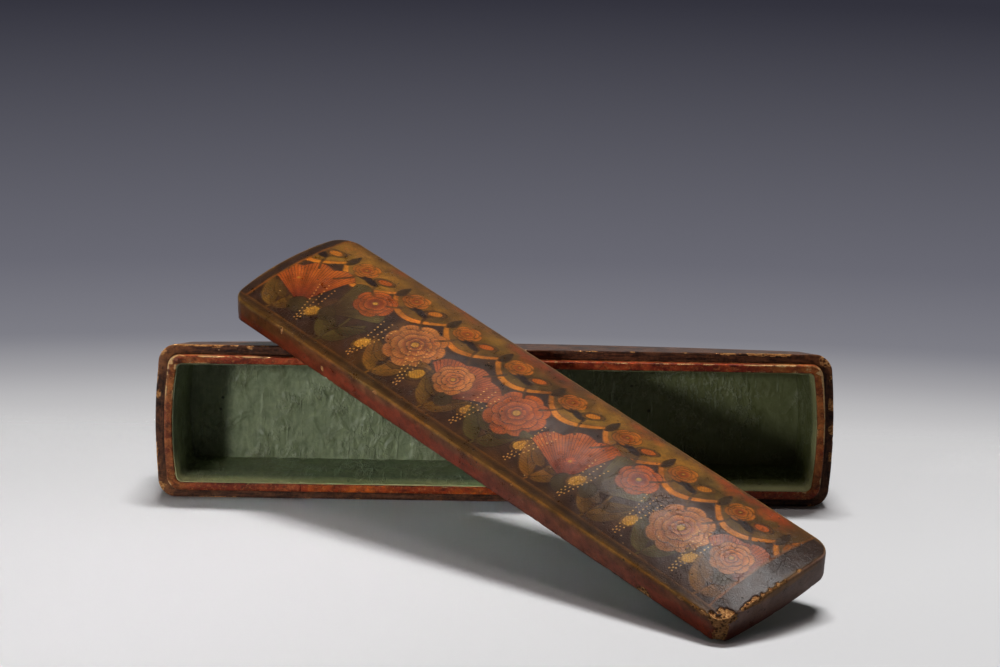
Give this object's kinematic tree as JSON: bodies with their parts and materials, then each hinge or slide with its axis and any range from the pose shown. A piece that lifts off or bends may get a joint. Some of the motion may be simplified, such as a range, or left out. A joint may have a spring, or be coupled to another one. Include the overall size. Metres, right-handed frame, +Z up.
{
  "type": "pen box",
  "caption": "Long narrow lacquered pen box lying open on its side, with its arched lid off and leaning across it.",
  "frame": {"origin": "middle of the long side that the base lies on", "axes": "+X along the base, +Y from the base's mouth towards its bottom, +Z up"},
  "size_m": [0.25, 0.2003, 0.0859],
  "materials": {
    "body_lacquer": "worn dark brown lacquer on pasteboard",
    "collar_lacquer": "worn red lacquer on thin strips",
    "lid_lacquer": "painted and varnished pasteboard",
    "lining_paper": "matt green painted paper"
  },
  "bodies": {
    "base": {"base_shell": "body_lacquer", "collar_upper_strip": "collar_lacquer", "collar_lower_left_strip": "collar_lacquer", "collar_lower_right_strip": "collar_lacquer", "collar_left_strip": "collar_lacquer", "collar_right_strip": "collar_lacquer", "base_floor_lining": "lining_paper", "base_upper_side_lining": "lining_paper", "base_lower_side_lining": "lining_paper", "base_left_end_lining": "lining_paper", "base_right_end_lining": "lining_paper"},
    "lid": {"lid_shell": "lid_lacquer", "lid_crown_lining": "lining_paper", "lid_back_side_lining": "lining_paper", "lid_front_side_lining": "lining_paper", "lid_left_end_lining": "lining_paper", "lid_right_end_lining": "lining_paper"}
  },
  "joints": [
    {"name": "lid_lift", "type": "slide", "parent": "base", "child": "lid", "axis": [0, 0, 1], "range_m": [0, 0.08]}
  ]
}
